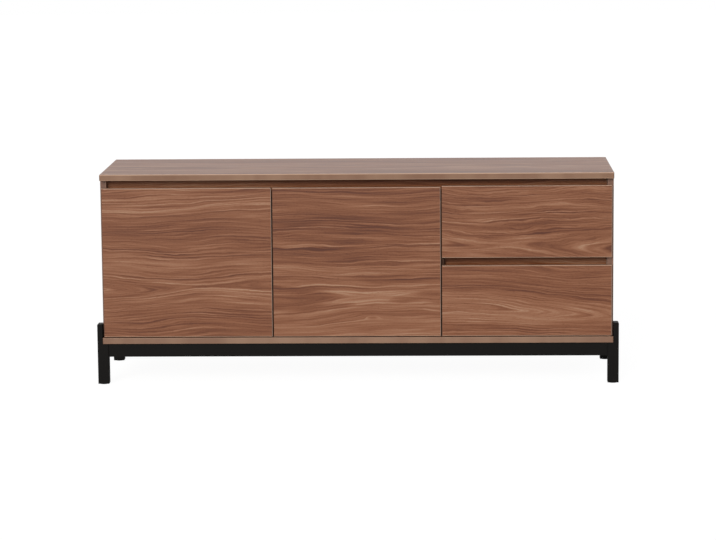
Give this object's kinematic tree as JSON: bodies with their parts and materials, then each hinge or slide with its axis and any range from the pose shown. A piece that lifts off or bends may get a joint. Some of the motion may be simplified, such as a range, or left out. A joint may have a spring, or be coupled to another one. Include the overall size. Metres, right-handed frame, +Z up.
{
  "type": "sideboard",
  "caption": "Low wide sideboard with doors and stacked drawers, finger gaps instead of handles, and a black base whose notched legs clasp the ends of the walnut carcass.",
  "frame": {"origin": "on the floor, in the middle of the width over the legs and of the depth of the top", "axes": "+X along the front towards the drawers, on the right of someone who faces the doors; +Y from the front to the back; +Z up"},
  "size_m": [1.532, 0.42, 0.622],
  "materials": {
    "walnut_foil": "satin walnut foil on board",
    "black_timber": "satin black paint",
    "back_board": "matte printed hardboard",
    "drawer_board": "matte dark foil on board",
    "beech": "bare beech",
    "steel": "zinc plated",
    "zinc": "die-cast zinc",
    "glide_plastic": "matte"
  },
  "bodies": {
    "carcass": {"top_panel": "walnut_foil", "bottom_panel": "walnut_foil", "left_side_panel": "walnut_foil", "right_side_panel": "walnut_foil", "left_divider": "walnut_foil", "right_divider": "walnut_foil", "top_front_rail": "walnut_foil", "drawer_rail": "walnut_foil", "left_shelf": "walnut_foil", "middle_shelf": "walnut_foil", "left_back_panel": "back_board", "right_back_panel": "back_board", "cam_locks": "zinc", "cam_bolts": "steel", "back_screws": "steel", "shelf_pins": "steel", "front_left_leg": "black_timber", "rear_left_leg": "black_timber", "front_right_leg": "black_timber", "rear_right_leg": "black_timber", "front_base_rail": "black_timber", "rear_base_rail": "black_timber", "left_base_rail": "black_timber", "right_base_rail": "black_timber", "foot_glides": "glide_plastic", "base_dowels": "beech", "base_screws": "steel", "hinge_arms": "steel", "hinge_plates": "steel", "lower_left_cabinet_runner": "steel", "lower_right_cabinet_runner": "steel", "upper_left_cabinet_runner": "steel", "upper_right_cabinet_runner": "steel"},
    "left_link_pair": {"left_hinge_links": "steel"},
    "left_door_leaf": {"left_door": "walnut_foil", "left_hinge_cups": "steel"},
    "middle_link_pair": {"middle_hinge_links": "steel"},
    "middle_door_leaf": {"middle_door": "walnut_foil", "middle_hinge_cups": "steel"},
    "lower_drawer": {"lower_drawer_front": "walnut_foil", "lower_drawer_left_side": "drawer_board", "lower_drawer_right_side": "drawer_board", "lower_drawer_back": "drawer_board", "lower_drawer_bottom": "back_board", "lower_drawer_dowels": "beech", "lower_left_drawer_runner": "steel", "lower_right_drawer_runner": "steel"},
    "lower_runner_middles": {"lower_left_middle_runner": "steel", "lower_right_middle_runner": "steel"},
    "upper_drawer": {"upper_drawer_front": "walnut_foil", "upper_drawer_left_side": "drawer_board", "upper_drawer_right_side": "drawer_board", "upper_drawer_back": "drawer_board", "upper_drawer_bottom": "back_board", "upper_drawer_dowels": "beech", "upper_left_drawer_runner": "steel", "upper_right_drawer_runner": "steel"},
    "upper_runner_middles": {"upper_left_middle_runner": "steel", "upper_right_middle_runner": "steel"}
  },
  "joints": [
    {"name": "left_link_swing", "type": "hinge", "parent": "carcass", "child": "left_link_pair", "pos_m": [-0.7015, -0.185, 0.3615], "axis": [0, 0, 1], "range_deg": [0, 32.31]},
    {"name": "left_door_turn", "type": "hinge", "parent": "left_link_pair", "child": "left_door_leaf", "pos_m": [-0.7336, -0.199, 0.3615], "axis": [0, 0, -1], "range_deg": [0, 137.3]},
    {"name": "middle_link_swing", "type": "hinge", "parent": "carcass", "child": "middle_link_pair", "pos_m": [0.202, -0.185, 0.3615], "axis": [0, 0, -1], "range_deg": [0, 27.61]},
    {"name": "middle_door_turn", "type": "hinge", "parent": "middle_link_pair", "child": "middle_door_leaf", "pos_m": [0.2341, -0.199, 0.3615], "axis": [0, 0, 1], "range_deg": [0, 117.3]},
    {"name": "lower_drawer_slide", "type": "slide", "parent": "carcass", "child": "lower_drawer", "axis": [0, -1, 0], "range_m": [0, 0.34]},
    {"name": "lower_runner_slide", "type": "slide", "parent": "carcass", "child": "lower_runner_middles", "axis": [0, -1, 0], "range_m": [0, 0.17]},
    {"name": "upper_drawer_slide", "type": "slide", "parent": "carcass", "child": "upper_drawer", "axis": [0, -1, 0], "range_m": [0, 0.34]},
    {"name": "upper_runner_slide", "type": "slide", "parent": "carcass", "child": "upper_runner_middles", "axis": [0, -1, 0], "range_m": [0, 0.17]}
  ],
  "couplings": [
    {"joint": "left_link_swing", "follows": "left_door_turn", "ratio": 0.23529},
    {"joint": "middle_link_swing", "follows": "middle_door_turn", "ratio": 0.23529},
    {"joint": "lower_runner_slide", "follows": "lower_drawer_slide", "ratio": 0.5},
    {"joint": "upper_runner_slide", "follows": "upper_drawer_slide", "ratio": 0.5}
  ]
}
